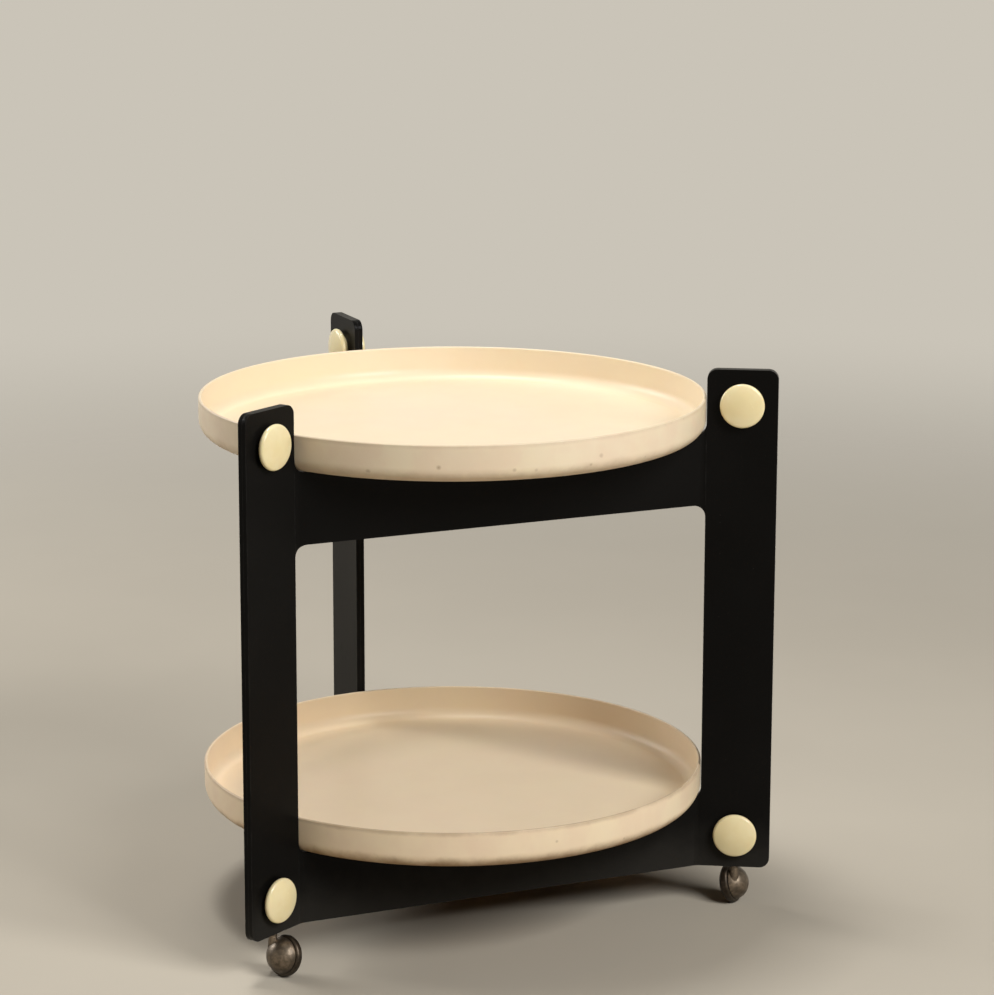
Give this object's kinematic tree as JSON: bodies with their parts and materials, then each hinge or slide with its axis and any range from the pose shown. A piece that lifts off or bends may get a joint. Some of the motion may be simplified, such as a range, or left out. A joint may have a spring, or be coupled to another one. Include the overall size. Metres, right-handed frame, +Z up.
{
  "type": "serving trolley",
  "caption": "Two-tier round serving trolley: deep cream trays lie on bent black panels that meet in radial fins, with domed bolt caps and ball casters.",
  "frame": {"origin": "on the centre line of both trays, at the height of the floor", "axes": "+Z up; the three fins stand at 90, 210 and 330 degrees from +X, so one panel faces -Y"},
  "size_m": [0.563, 0.574, 0.554],
  "materials": {
    "black_panel": "black, satin gloss",
    "cream_tray": "cream, gloss",
    "ivory_cap": "ivory, gloss",
    "fastener_steel": "zinc plated",
    "caster_bronze": "dark bronze, semi-gloss"
  },
  "bodies": {
    "frame": {"front_panel": "black_panel", "right_panel": "black_panel", "left_panel": "black_panel", "left_fin_bolts": "fastener_steel", "right_fin_bolts": "fastener_steel", "rear_fin_bolts": "fastener_steel", "left_fin_sleeve_nuts": "fastener_steel", "right_fin_sleeve_nuts": "fastener_steel", "rear_fin_sleeve_nuts": "fastener_steel", "left_upper_cap_front": "ivory_cap", "left_lower_cap_front": "ivory_cap", "left_upper_cap_side": "ivory_cap", "left_lower_cap_side": "ivory_cap", "right_upper_cap_front": "ivory_cap", "right_lower_cap_front": "ivory_cap", "right_upper_cap_side": "ivory_cap", "right_lower_cap_side": "ivory_cap", "rear_upper_cap_left": "ivory_cap", "rear_lower_cap_left": "ivory_cap", "rear_upper_cap_right": "ivory_cap", "rear_lower_cap_right": "ivory_cap", "left_caster_socket": "caster_bronze", "right_caster_socket": "caster_bronze", "rear_caster_socket": "caster_bronze"},
    "upper_tray_body": {"upper_tray": "cream_tray"},
    "lower_tray_body": {"lower_tray": "cream_tray"},
    "left_caster": {"left_caster_stem": "caster_bronze", "left_caster_grip_ring": "fastener_steel", "left_caster_hood": "caster_bronze", "left_caster_axle": "caster_bronze"},
    "left_wheel_body": {"left_caster_wheel": "caster_bronze"},
    "right_caster": {"right_caster_stem": "caster_bronze", "right_caster_grip_ring": "fastener_steel", "right_caster_hood": "caster_bronze", "right_caster_axle": "caster_bronze"},
    "right_wheel_body": {"right_caster_wheel": "caster_bronze"},
    "rear_caster": {"rear_caster_stem": "caster_bronze", "rear_caster_grip_ring": "fastener_steel", "rear_caster_hood": "caster_bronze", "rear_caster_axle": "caster_bronze"},
    "rear_wheel_body": {"rear_caster_wheel": "caster_bronze"}
  },
  "joints": [
    {"name": "upper_tray_lift", "type": "slide", "parent": "frame", "child": "upper_tray_body", "axis": [0, 0, 1], "range_m": [0, 0.12]},
    {"name": "lower_tray_lift", "type": "slide", "parent": "frame", "child": "lower_tray_body", "axis": [0, 0, 1], "range_m": [0, 0.24]},
    {"name": "left_caster_swivel", "type": "hinge", "parent": "frame", "child": "left_caster", "pos_m": [-0.24898, -0.14375, 0.042], "axis": [0, 0, 1], "continuous": true},
    {"name": "left_wheel_spin", "type": "hinge", "parent": "left_caster", "child": "left_wheel_body", "pos_m": [-0.23898, -0.14944, 0.01973], "axis": [-0.8682, -0.4234, 0.2588], "continuous": true},
    {"name": "right_caster_swivel", "type": "hinge", "parent": "frame", "child": "right_caster", "pos_m": [0.24898, -0.14375, 0.042], "axis": [0, 0, 1], "continuous": true},
    {"name": "right_wheel_spin", "type": "hinge", "parent": "right_caster", "child": "right_wheel_body", "pos_m": [0.25169, -0.13256, 0.01973], "axis": [0.6463, -0.7178, 0.2588], "continuous": true},
    {"name": "rear_caster_swivel", "type": "hinge", "parent": "frame", "child": "rear_caster", "pos_m": [0, 0.2875, 0.042], "axis": [0, 0, 1], "continuous": true},
    {"name": "rear_wheel_spin", "type": "hinge", "parent": "rear_caster", "child": "rear_wheel_body", "pos_m": [-0.01115, 0.28464, 0.01973], "axis": [0.3304, 0.9077, 0.2588], "continuous": true}
  ]
}
